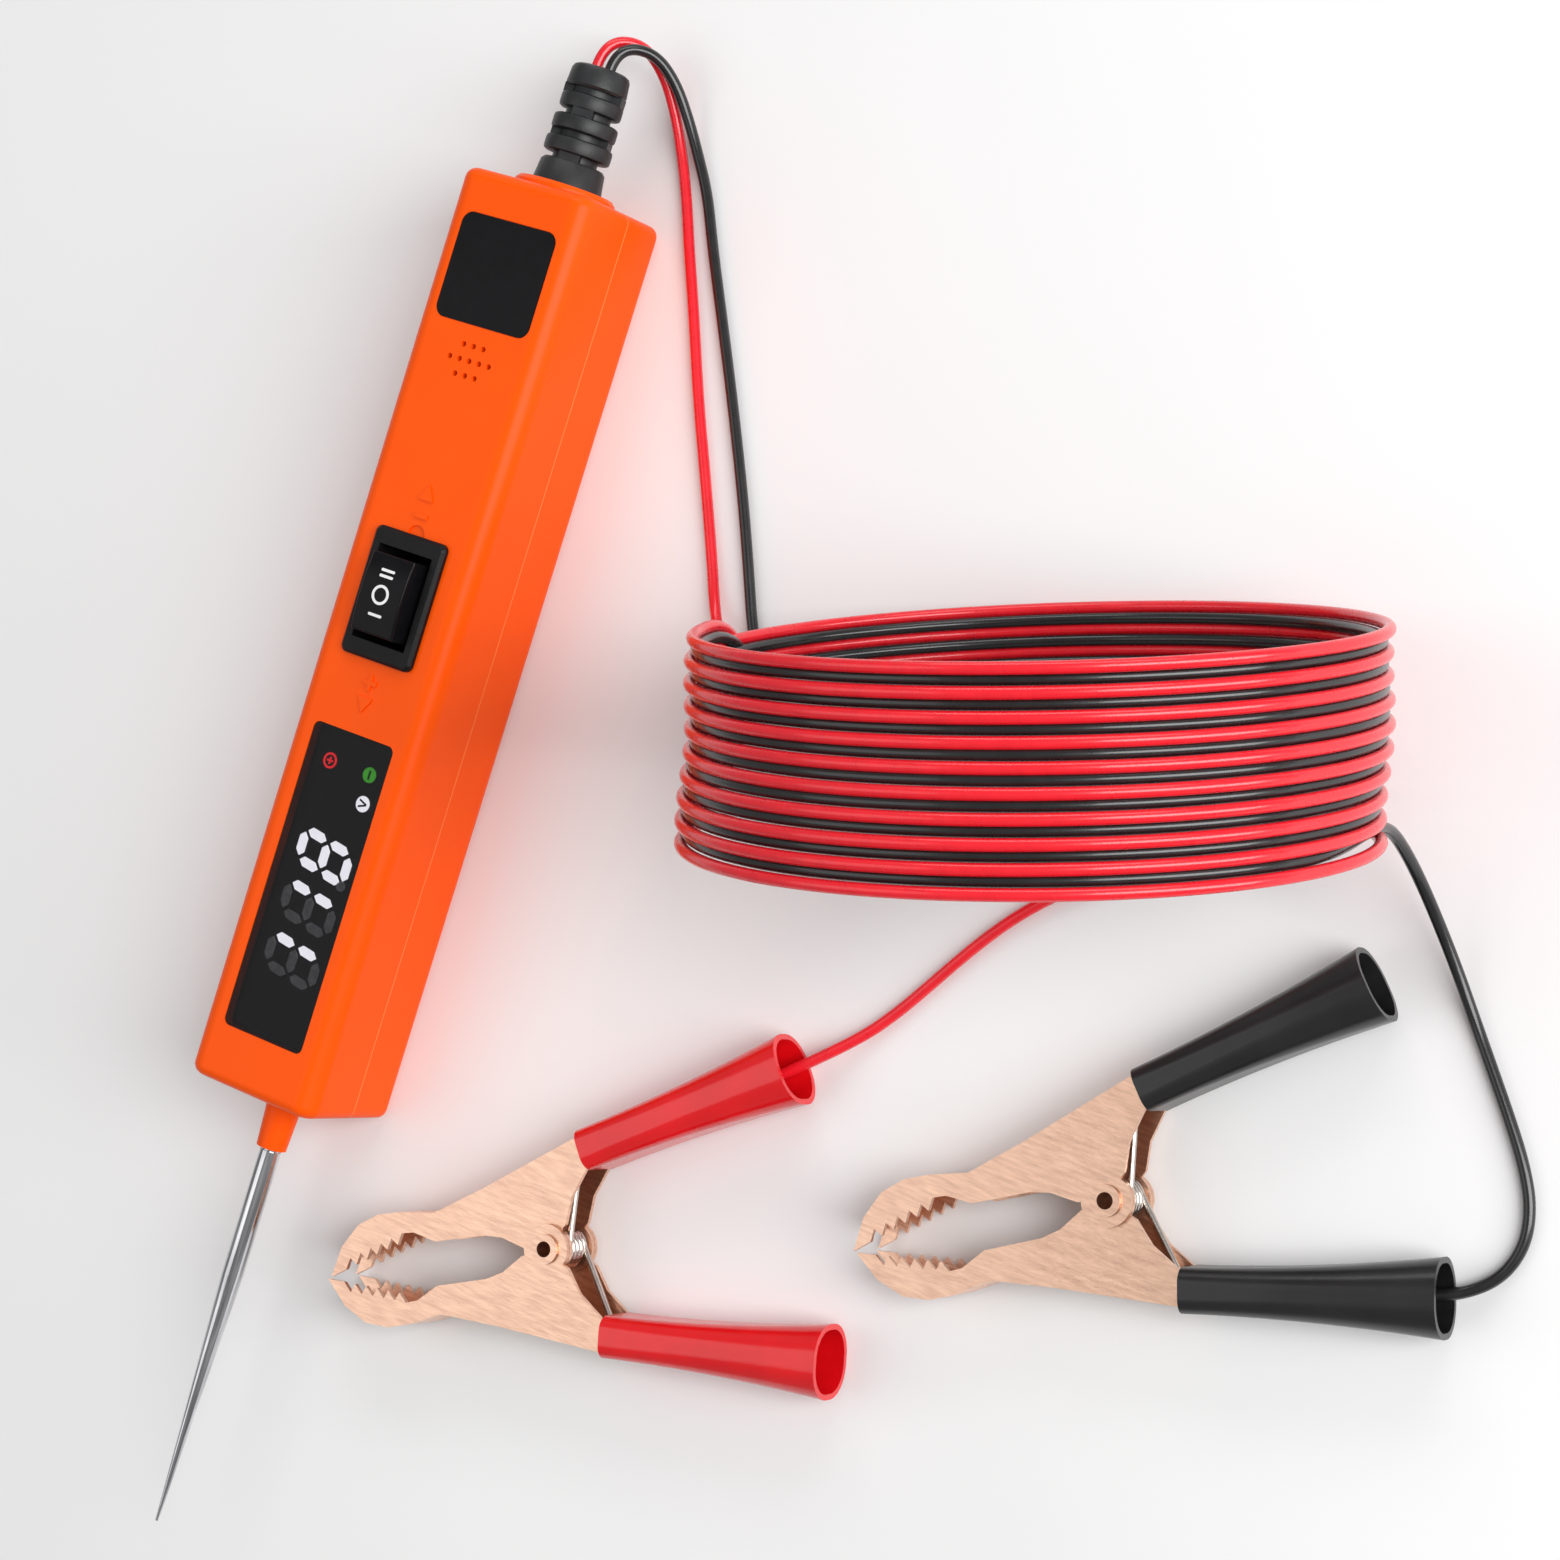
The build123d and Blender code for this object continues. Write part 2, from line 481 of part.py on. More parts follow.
def grip():
    """The sleeve over a handle, flaring to its open end."""
    dx = GRIP_END[0] - GRIP_START[0]
    dy = GRIP_END[1] - GRIP_START[1]
    length = math.hypot(dx, dy)
    high = 11.4
    sections = ((0.0, 6.6, 2.2), (0.35, 7.2, 2.8), (1.0, 11.4, 5.0))

    def skin(shrink, extra):
        faces = []
        for share, wide, corner in sections:
            far = share * length + (extra if share == 1.0 else -extra if share == 0.0 else 0.0)
            frame = Plane(origin=(far, 0, 0), x_dir=(0, 1, 0), z_dir=(1, 0, 0))
            faces.append(frame * RectangleRounded(wide - 2 * shrink, high - 2 * shrink, corner - shrink))
        return loft(faces)

    sleeve = skin(0.0, 0.0) - skin(GRIP_WALL, 0.2)
    return Pos(*GRIP_START) * Rot(0, 0, math.degrees(math.atan2(dy, dx))) * sleeve


def rivet():
    """The hollow rivet that both halves turn on."""
    body = Cylinder(RIVET_RADIUS, OUTER_WIDE + 0.2)
    for side in (-1, 1):
        body += Pos(0, 0, side * (OUTER_WIDE / 2 + 0.3)) * Cylinder(2.35, 0.5)
    return body - Cylinder(RIVET_BORE, 30)


def spring():
    """The torsion spring round the rivet, with a leg in each handle."""
    pitch = SPRING_WIRE + 0.05
    high = pitch * SPRING_TURNS
    path = Helix(pitch=pitch, height=high, radius=SPRING_RADIUS)
    section = Plane(origin=path @ 0, z_dir=path % 0) * Circle(SPRING_WIRE / 2)
    coil = Pos(0, 0, -high / 2) * sweep(section, path=path, is_frenet=True)
    legs = []
    for side in (-1, 1):
        start = Vector(2.8, -side * 0.74, side * high / 2)
        end = Vector(SPRING_LEG[0], side * SPRING_LEG[1], start.Z)
        direction = end - start
        frame = Plane(origin=start, z_dir=direction)
        legs.append(extrude(frame * Circle(SPRING_WIRE / 2), amount=direction.length))
    return coil + legs[0] + legs[1]


def crimp():
    """The barrel that holds the lead's wire on the handle."""
    barrel = Rot(0, 90, 0) * (Cylinder(1.7, 6) - Cylinder(LEAD / 2, 8))
    dx = GRIP_END[0] - GRIP_START[0]
    dy = GRIP_END[1] - GRIP_START[1]
    turn = math.degrees(math.atan2(dy, dx))
    return Pos(*GRIP_START) * Rot(0, 0, turn) * Pos(18.5, 0, 0) * barrel


def build_clamp(colour, place, flipped):
    """One clamp. Its upper half holds the lead, and on a flipped clamp that half is the lower one."""
    x, y, turn = place
    here = Pos(x, y, CLAMP_Z) * Rot(0, 0, turn)
    if flipped:
        here = here * Rot(180, 0, 0)
    other = here * Rot(180, 0, 0)
    node(f"{colour}_clamp_lead_jaw", here * jaw(INNER_WIDE, RIVET_RADIUS))
    node(f"{colour}_clamp_free_jaw", other * jaw(OUTER_WIDE, RIVET_RADIUS + 0.05))
    node(f"{colour}_clamp_lead_grip", here * grip())
    node(f"{colour}_clamp_free_grip", other * grip())
    node(f"{colour}_clamp_rivet", here * rivet())
    node(f"{colour}_clamp_spring", here * spring())
    node(f"{colour}_clamp_crimp", here * crimp())


# === write ========================================================================================
build_case()
build_tip()
build_boot()
build_switch()
build_boards()
build_digits()
build_leads()
build_inner_wires()
build_clamp("red", RED_CLAMP, False)
build_clamp("black", BLACK_CLAMP, True)

os.makedirs("parts", exist_ok=True)
for name, shape in made.items():
    export_step(shape, f"parts/{name}.step")
print(len(made), "nodes")
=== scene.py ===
"""Circuit test light: camera, leads, small printed and sprung pieces, materials and lights.

Lengths are written in millimetres and turned into metres where they reach Blender. The places and sizes
of the lights, the floor's size and the leads' full lengths are in metres.
"""
import json
import math

import bmesh
import bpy
from mathutils import Matrix, Vector

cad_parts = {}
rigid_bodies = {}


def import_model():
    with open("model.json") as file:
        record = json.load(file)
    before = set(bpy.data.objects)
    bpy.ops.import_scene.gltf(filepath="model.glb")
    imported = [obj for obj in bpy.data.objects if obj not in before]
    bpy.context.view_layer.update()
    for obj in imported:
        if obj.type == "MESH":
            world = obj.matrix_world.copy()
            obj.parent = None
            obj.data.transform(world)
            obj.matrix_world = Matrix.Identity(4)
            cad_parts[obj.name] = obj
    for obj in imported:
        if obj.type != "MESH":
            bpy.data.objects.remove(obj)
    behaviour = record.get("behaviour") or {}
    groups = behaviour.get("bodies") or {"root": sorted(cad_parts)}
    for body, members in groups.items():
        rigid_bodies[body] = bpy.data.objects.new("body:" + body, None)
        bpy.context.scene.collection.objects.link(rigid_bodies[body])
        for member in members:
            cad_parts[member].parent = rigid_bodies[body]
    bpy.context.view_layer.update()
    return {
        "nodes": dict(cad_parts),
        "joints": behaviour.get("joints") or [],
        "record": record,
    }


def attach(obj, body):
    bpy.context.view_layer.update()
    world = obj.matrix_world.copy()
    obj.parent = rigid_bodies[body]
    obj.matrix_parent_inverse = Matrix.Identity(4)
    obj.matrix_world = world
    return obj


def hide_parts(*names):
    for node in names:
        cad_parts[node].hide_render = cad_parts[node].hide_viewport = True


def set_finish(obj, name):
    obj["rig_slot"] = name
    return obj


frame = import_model()
nodes = frame["nodes"]
scene = bpy.context.scene
MM = 0.001

# --- camera ------------------------------------------------------------------------------------
CAMERA_AT = (295.0, 59.0, 458.8)
CAMERA_VIEW = (-0.4512, -0.0660, -0.8900)
CAMERA_UP = (-0.2972, 0.9515, 0.0800)
CAMERA_LENS = 76.15

# --- leads: the CAD model's routes, on a coil turned a little less and leaning a little more -----
LEAD = 1.8
LEAD_Z = 0.95
CLAMP_Z = 5.75
COIL_CENTRE = (116.8, 45.5)
COIL_TURN = math.radians(16.0)
COIL_LINE = (49.2, 38.3)
COIL_INSET = 0.85
COIL_MIDDLE_Z = 39.25
COIL_LEAN = 0.25
COIL_PITCH = 3.2
COIL_POINTS = 24
COIL_SWELL = 0.35
COIL_SWELL_WAVE = 2.3
COIL_STOP_SHORT = 0.4
RED_ROW = 15.2
BLACK_ROW = 13.6
RED_PHASE = 0.0
BLACK_PHASE = 1.1
RED_TURNS = 9.69
BLACK_TURNS = 8.55
RED_LENGTH = 2.95
BLACK_LENGTH = 2.60

# --- clamps ------------------------------------------------------------------------------------
CLAMP_TURNS = {"red": 27.4, "black": 31.3}
SPRING_WIRE = 1.1
SPRING_RADIUS = 2.9
SPRING_TURNS = 4
SPRING_PITCH = 1.15
SPRING_LEG = (6.8, 14.0)
SPRING_KNEE = (3.5, 2.6)
SPRING_LEAD_IN = -0.4
SPRING_POINTS = 24

# --- strain relief -------------------------------------------------------------------------------
CABLE_END = 102.5
AXIS_HEIGHT = 12.0
BOOT_LONG = 21.0
BOOT_BASE = (5.9, 5.3)
BOOT_BASE_LONG = 5.4
BOOT_CORE = 3.7
BOOT_RIBS = 3
BOOT_RIB_LONG = 2.5
BOOT_RIB_RADIUS = 5.5
BOOT_GAP = 1.1
BOOT_END = 5.0
BOOT_BRIDGE_ANGLE = 20.0
BOOT_BRIDGE_WIDE = 3.4
BOOT_BRIDGE_HIGH = 1.6
BOOT_BRIDGE_SUNK = 0.5
BOOT_BRIDGE_LAP = 0.4
BOOT_EDGE = 0.45
BOOT_RIB_TAPER = 0.2
BOOT_SIDES = 64
SHARP_ANGLE = 35

# --- rocker marks and display lights -----------------------------------------------------------
SWITCH_Y = 33.6
ROCKER_HALF = 6.45
ROCKER_TOP = (27.9, 28.5)
DISPLAY_TOP = 22.25
RED_LIGHT_AT = (-4.2, 5.6)
GREEN_LIGHT_AT = (3.8, 5.6)
VOLT_LIGHT_AT = (4.2, 0.9)
MARK_BAR = (2.6, 0.45)
MARK_BARS_AT = (3.0, 3.95, -3.3)
MARK_RING = (1.15, 1.6)
MARK_THICK = 0.05
LIGHT_THICK = 0.03
SIGN_LIFT = 0.04
RED_LIGHT_RING = (0.95, 1.3)
RED_LIGHT_PLUS = (1.2, 0.32)
GREEN_LIGHT_RADIUS = 1.25
VOLT_LIGHT_RADIUS = 1.3
SIGN_HALF = 0.75
ROUND_POINTS = 48


def add_camera():
    """Put the camera where its view, up and lens are given."""
    camera = bpy.data.objects.new("camera", bpy.data.cameras.new("camera"))
    scene.collection.objects.link(camera)
    back = -Vector(CAMERA_VIEW).normalized()
    right = Vector(CAMERA_UP).cross(back).normalized()
    up = back.cross(right)
    turn = Matrix((right, up, back)).transposed().to_4x4()
    camera.matrix_world = Matrix.Translation(Vector(CAMERA_AT) * MM) @ turn
    camera.data.lens = CAMERA_LENS
    camera.data.sensor_width = 36.0
    camera.data.clip_start = 0.01
    scene.camera = camera


add_camera()


# === leads =====================================================================================
def coil_point(v, u, z):
    """A point given across the coil (v), along its axis (u) and up (z), on turns that lean over."""
    u -= COIL_LEAN * (z - COIL_MIDDLE_Z)
    x = COIL_CENTRE[0] + v * math.cos(COIL_TURN) - u * math.sin(COIL_TURN)
    y = COIL_CENTRE[1] + v * math.sin(COIL_TURN) + u * math.cos(COIL_TURN)
    return (x, y, z)


def coil_turns(row, turns, inset, phase):
    """Control points of one lead's turns, from its first left side to just before its end."""
    reach = 1 / math.cos(math.pi / COIL_POINTS)
    wide = (COIL_LINE[0] - inset) * reach
    high = (COIL_LINE[1] - inset) * reach
    points = []
    for i in range(1, int(turns * COIL_POINTS - COIL_STOP_SHORT)):
        angle = 2 * math.pi * i / COIL_POINTS
        done = i / COIL_POINTS
        swell = COIL_SWELL * math.sin(COIL_SWELL_WAVE * done * math.pi + phase)
        across = -(wide + swell) * math.cos(angle)
        lift = swell * max(0.0, math.sin(angle))
        up = COIL_MIDDLE_Z + (high + lift) * math.sin(angle)
        points.append(coil_point(across, row - COIL_PITCH * done, up))
    return points


RED_IN = [
    (-1.3, 123.5, 12.0), (-1.1, 126.4, 12.1), (0.6, 129.0, 10.6), (3.8, 129.3, 7.8), (6.9, 126.2, 5.2),
    (9.4, 121.3, 2.8), (11.9, 115.6, 1.3), (15.2, 108.6, LEAD_Z), (18.6, 100.6, LEAD_Z),
    (23.2, 90.4, LEAD_Z), (28.4, 78.2, LEAD_Z), (34.4, 65.6, LEAD_Z), (39.6, 54.4, LEAD_Z),
    (42.9, 47.4, 1.5), (46.6, 43.4, 4.0), (51.4, 41.7, 8.2), (56.8, 42.2, 13.6), (61.6, 43.2, 20.6),
    (64.6, 43.9, 29.6), coil_point(-COIL_LINE[0], RED_ROW, 39.2)]
BLACK_IN = [
    (1.3, 123.5, 12.0), (1.5, 126.0, 12.1), (3.3, 128.3, 10.7), (6.5, 128.3, 8.0), (9.6, 125.3, 5.4),
    (12.3, 120.7, 3.0), (15.2, 115.6, 1.5), (18.9, 109.7, LEAD_Z), (22.6, 102.0, LEAD_Z),
    (28.0, 91.8, LEAD_Z), (34.5, 79.4, LEAD_Z), (41.4, 65.6, LEAD_Z), (46.9, 53.6, LEAD_Z),
    (50.2, 46.0, LEAD_Z), (53.6, 40.6, LEAD_Z), (58.2, 37.8, 2.6), (62.6, 38.4, 8.2),
    (65.6, 40.8, 17.0), (66.7, 42.4, 28.0), coil_point(COIL_INSET - COIL_LINE[0], BLACK_ROW, 39.2)]
RED_OUT = [
    coil_point(18.0, -15.8, 3.6), (131.0, 39.6, 1.6), (126.0, 35.2, LEAD_Z), (121.6, 30.4, LEAD_Z),
    (116.8, 26.0, LEAD_Z), (111.6, 21.6, LEAD_Z), (106.7, 16.4, LEAD_Z), (102.3, 10.4, LEAD_Z),
    (98.2, 4.0, LEAD_Z), (94.2, -2.2, LEAD_Z), (90.0, -7.8, 1.6), (82.4, -15.2, 3.3), (76.0, -21.1, 4.8),
    (69.2, -26.7, CLAMP_Z)]
BLACK_OUT = [
    coil_point(46.0, -13.76, 27.7), (164.2, 48.0, 21.0), (165.4, 45.6, 15.0), (167.4, 42.0, 9.8),
    (170.4, 37.2, 5.6), (174.2, 31.6, 2.6), (178.4, 25.6, LEAD_Z), (183.0, 19.8, LEAD_Z),
    (187.4, 14.2, LEAD_Z), (191.2, 9.0, LEAD_Z), (194.0, 3.8, LEAD_Z), (194.9, -1.8, LEAD_Z),
    (193.2, -7.0, 1.2), (189.2, -10.7, 1.9), (183.6, -13.2, 3.0), (177.2, -15.5, 4.6),
    (170.5, -17.8, CLAMP_Z)]


def smooth_line(name, points, thickness, place=None):
    """A round line of one NURBS spline. Its points' radius turns the bevel's millimetres into metres."""
    curve = bpy.data.curves.new(name, "CURVE")
    curve.dimensions = "3D"
    curve.bevel_depth = thickness / 2
    curve.bevel_resolution = 5
    curve.resolution_u = 8
    curve.use_fill_caps = True
    spline = curve.splines.new("NURBS")
    spline.points.add(len(points) - 1)
    for control, point in zip(spline.points, points):
        spot = Vector(point) * MM
        if place:
            spot = place @ spot
        control.co = (*spot, 1.0)
        control.radius = MM
    spline.order_u = 3
    spline.use_endpoint_u = True
    line = bpy.data.objects.new(name, curve)
    scene.collection.objects.link(line)
    return line


red_turns = coil_turns(RED_ROW, RED_TURNS, 0.0, RED_PHASE)
black_turns = coil_turns(BLACK_ROW, BLACK_TURNS, COIL_INSET, BLACK_PHASE)
red_lead = smooth_line("red_lead", RED_IN + red_turns + RED_OUT, LEAD)
black_lead = smooth_line("black_lead", BLACK_IN + black_turns + BLACK_OUT, LEAD)
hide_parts("red_lead_from_probe", "red_lead_to_clamp", "wound_leads")
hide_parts("black_lead_from_probe", "black_lead_to_clamp", "wound_leads")


# === clamp springs =============================================================================
def clamp_place(colour):
    """The clamp's own axes: its pivot, turned in the plane, and over onto its back on the black one."""
    joint = next(j for j in frame["joints"] if j["name"] == f"{colour}_clamp_open")
    turn = Matrix.Rotation(math.radians(CLAMP_TURNS[colour]), 4, "Z")
    over = Matrix.Rotation(math.pi if colour == "black" else 0.0, 4, "X")
    return Matrix.Translation(joint["pos_m"]) @ turn @ over


def add_spring(colour):
    """A torsion spring's coil with the fixed handle's leg, and the leg that moves with the other handle."""
    place = clamp_place(colour)
    half = SPRING_PITCH * SPRING_TURNS / 2
    reach = SPRING_RADIUS / math.cos(math.pi / SPRING_POINTS)
    coil = []
    for i in range(SPRING_TURNS * SPRING_POINTS + 1):
        angle = 2 * math.pi * i / SPRING_POINTS
        up = -half + SPRING_PITCH * i / SPRING_POINTS
        coil.append((reach * math.cos(angle), reach * math.sin(angle), up))
    far_x, far_y = SPRING_LEG
    knee_x, knee_y = SPRING_KNEE
    fixed_points = coil + [(knee_x, knee_y, half), (far_x, far_y, half)]
    # The moving leg starts on the coil's first turn, so the two stay together at every opening.
    moving_points = [coil[3], coil[1], (SPRING_RADIUS, SPRING_LEAD_IN, -half),
                     (knee_x, -knee_y, -half), (far_x, -far_y, -half)]
    fixed = smooth_line(f"{colour}_spring_coil", fixed_points, SPRING_WIRE, place)
    moving = smooth_line(f"{colour}_spring_free_leg", moving_points, SPRING_WIRE, place)
    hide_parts(f"{colour}_clamp_spring")
    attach(fixed, "root")
    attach(moving, f"{colour}_free_half")
    for piece in (fixed, moving):
        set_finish(piece, "steel")
    return [fixed, moving]


springs = {colour: add_spring(colour) for colour in CLAMP_TURNS}

for lead, colour, route, length in ((red_lead, "red", RED_IN, RED_LENGTH),
                                    (black_lead, "black", BLACK_IN, BLACK_LENGTH)):
    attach(lead, "root")
    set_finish(lead, f"{colour}_pvc")


# === strain relief =============================================================================
def rib_section(start, radius):
    """One rib with rounded edges, as (along, radius) points."""
    far = start + BOOT_RIB_LONG
    return [(start, BOOT_CORE), (start, radius - BOOT_EDGE), (start + 0.2, radius - 0.1),
            (start + 0.6, radius), (far - 0.6, radius), (far - 0.2, radius - 0.1),
            (far, radius - BOOT_EDGE), (far, BOOT_CORE)]


def boot_profile():
    """The boot's outline as (along, radius) points, and where each gap between its ribs starts."""
    start = BOOT_BASE_LONG
    profile = [(0.0, BOOT_BASE[0]), (start - 0.5, BOOT_BASE[1]), (start, BOOT_BASE[1] - BOOT_EDGE),
               (start, BOOT_CORE)]
    gaps = []
    for i in range(BOOT_RIBS):
        gaps.append(start)
        start += BOOT_GAP
        profile += rib_section(start, BOOT_RIB_RADIUS - BOOT_RIB_TAPER * i)
        start += BOOT_RIB_LONG
    gaps.append(start)
    start += BOOT_GAP
    profile += [(start, BOOT_CORE), (start, BOOT_END - 0.3), (start + 0.4, BOOT_END),
                (BOOT_LONG - 0.9, BOOT_END - 0.2), (BOOT_LONG - 0.3, BOOT_END - 0.5),
                (BOOT_LONG, BOOT_END - 1.1)]
    return profile, gaps


def add_bridge(mesh, gap, turned):
    """A short block that joins two ribs across their gap, at an angle about the boot's axis."""
    turn = Matrix.Rotation(turned, 4, "Y")
    middle = Vector((0.0, (CABLE_END + gap + BOOT_GAP / 2) * MM, AXIS_HEIGHT * MM))
    for vertex in bmesh.ops.create_cube(mesh, size=1.0)["verts"]:
        x, y, z = vertex.co
        spot = Vector((x * BOOT_BRIDGE_WIDE, y * (BOOT_GAP + BOOT_BRIDGE_LAP),
                       BOOT_CORE - BOOT_BRIDGE_SUNK + (z + 0.5) * BOOT_BRIDGE_HIGH)) * MM
        vertex.co = middle + turn @ spot


def add_boot():
    """The ribbed boot: a collar, ribs and an end ring on a thinner core, with bridges across the gaps."""
    mesh = bmesh.new()
    profile, gaps = boot_profile()
    rows = []
    for along, radius in profile:
        row = []
        for k in range(BOOT_SIDES):
            angle = 2 * math.pi * k / BOOT_SIDES
            row.append(mesh.verts.new((radius * math.cos(angle) * MM, (CABLE_END + along) * MM,
                                       (AXIS_HEIGHT + radius * math.sin(angle)) * MM)))
        rows.append(row)
    for low, high in zip(rows, rows[1:]):
        for k in range(BOOT_SIDES):
            m = (k + 1) % BOOT_SIDES
            mesh.faces.new((low[k], low[m], high[m], high[k]))
    mesh.faces.new(rows[0])
    mesh.faces.new(list(reversed(rows[-1])))
    for i, gap in enumerate(gaps):
        quarter = math.pi / 2 if i % 2 else 0.0
        for opposite in (0.0, math.pi):
            add_bridge(mesh, gap, math.radians(BOOT_BRIDGE_ANGLE) + quarter + opposite)
    bmesh.ops.recalc_face_normals(mesh, faces=mesh.faces)
    data = bpy.data.meshes.new("ribbed_boot")
    mesh.to_mesh(data)
    mesh.free()
    data.shade_smooth()
    data.set_sharp_from_angle(angle=math.radians(SHARP_ANGLE))
    boot = bpy.data.objects.new("ribbed_boot", data)
    scene.collection.objects.link(boot)
    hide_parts("strain_relief")
    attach(boot, "root")
    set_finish(boot, "black_rubber")


add_boot()


# === thin printed and lit shapes ===============================================================
def thin_piece(name, outlines, height, thick, rings=()):
    """Thin solid shapes that follow a height: filled outlines, and rings of (x, y, inner, outer)."""
    mesh = bmesh.new()

    def vertex(x, y, level):
        return mesh.verts.new((x * MM, y * MM, (height(x, y) + level) * MM))

    for outline in outlines:
        low = [vertex(x, y, -thick) for x, y in outline]
        high = [vertex(x, y, thick) for x, y in outline]
        mesh.faces.new(list(reversed(low)))
        mesh.faces.new(high)
        for i in range(len(outline)):
            j = (i + 1) % len(outline)
            mesh.faces.new((low[i], low[j], high[j], high[i]))
    for x, y, inner, outer in rings:
        sections = []
        for i in range(ROUND_POINTS):
            c = math.cos(2 * math.pi * i / ROUND_POINTS)
            s = math.sin(2 * math.pi * i / ROUND_POINTS)
            corners = ((inner, -thick), (outer, -thick), (outer, thick), (inner, thick))
            sections.append([vertex(x + r * c, y + r * s, level) for r, level in corners])
        for i in range(ROUND_POINTS):
            here = sections[i]
            there = sections[(i + 1) % ROUND_POINTS]
            for k in range(4):
                m = (k + 1) % 4
                mesh.faces.new((here[k], there[k], there[m], here[m]))
    bmesh.ops.recalc_face_normals(mesh, faces=mesh.faces)
    data = bpy.data.meshes.new(name)
    mesh.to_mesh(data)
    mesh.free()
    piece = bpy.data.objects.new(name, data)
    scene.collection.objects.link(piece)
    return piece


def rocker_height(x, y):
    """The crowned top of the rocker."""
    share = (y - SWITCH_Y) / ROCKER_HALF
    return ROCKER_TOP[1] - (ROCKER_TOP[1] - ROCKER_TOP[0]) * share ** 2


def bar_outline(x, y, long, wide, cut=0.12):
    """A bar along X with cut corners."""
    a = long / 2
    b = wide / 2
    around = ((-a + cut, -b), (a - cut, -b), (a, -b + cut), (a, b - cut),
              (a - cut, b), (-a + cut, b), (-a, b - cut), (-a, -b + cut))
    return [(x + dx, y + dy) for dx, dy in around]


def disc_outline(x, y, radius):
    """A disc's edge."""
    angles = [2 * math.pi * i / ROUND_POINTS for i in range(ROUND_POINTS)]
    return [(x + radius * math.cos(angle), y + radius * math.sin(angle)) for angle in angles]


def plus_outline(x, y, long, wide):
    """A plus sign's edge."""
    a = long / 2
    b = wide / 2
    corners = ((-a, -b), (-b, -b), (-b, -a), (b, -a), (b, -b), (a, -b),
               (a, b), (b, b), (b, a), (-b, a), (-b, b), (-a, b))
    return [(x + dx, y + dy) for dx, dy in corners]


def flat_display(x, y):
    """The display's face, at one height."""
    return DISPLAY_TOP


mark_bars = [bar_outline(0.0, SWITCH_Y + dy, *MARK_BAR) for dy in MARK_BARS_AT]
rocker_marks = thin_piece("rocker_marks", mark_bars, rocker_height, MARK_THICK, [(0.0, SWITCH_Y, *MARK_RING)])
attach(rocker_marks, "rocker_body")
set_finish(rocker_marks, "lit_white")

red_ring = thin_piece("plus_light_ring", [plus_outline(*RED_LIGHT_AT, *RED_LIGHT_PLUS)], flat_display,
                      LIGHT_THICK, [(*RED_LIGHT_AT, *RED_LIGHT_RING)])
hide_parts("plus_light")
green_disc = thin_piece("minus_light_disc", [disc_outline(*GREEN_LIGHT_AT, GREEN_LIGHT_RADIUS)],
                        flat_display, LIGHT_THICK)
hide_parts("minus_light")
volt_disc = thin_piece("volt_light_disc", [disc_outline(*VOLT_LIGHT_AT, VOLT_LIGHT_RADIUS)],
                       flat_display, LIGHT_THICK)
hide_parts("volt_light")


def above_display(x, y):
    """Just over the display's lights."""
    return DISPLAY_TOP + SIGN_LIFT


def volt_sign(x, y):
    """The letter V on its side."""
    half = SIGN_HALF
    return [(x - half, y - half), (x - half, y - 0.4), (x + 0.32, y), (x - half, y + 0.4),
            (x - half, y + half), (x + half, y + 0.17), (x + half, y - 0.17)]


def minus_sign(x, y, half_wide=0.18):
    """A minus sign along Y."""
    return [(x - half_wide, y - SIGN_HALF), (x + half_wide, y - SIGN_HALF),
            (x + half_wide, y + SIGN_HALF), (x - half_wide, y + SIGN_HALF)]


signs = [volt_sign(*VOLT_LIGHT_AT), minus_sign(*GREEN_LIGHT_AT)]
light_signs = thin_piece("light_signs", signs, above_display, LIGHT_THICK)
for piece, slot in ((red_ring, "red_light"), (green_disc, "green_light"), (volt_disc, "lit_white"),
                    (light_signs, "black_gloss")):
    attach(piece, "root")
    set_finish(piece, slot)


# === materials =================================================================================
COAT_ROUGH = 0.08
# The brushed grain of the copper runs along the clamps, at this many degrees.
ALONG_CLAMPS = -29.0


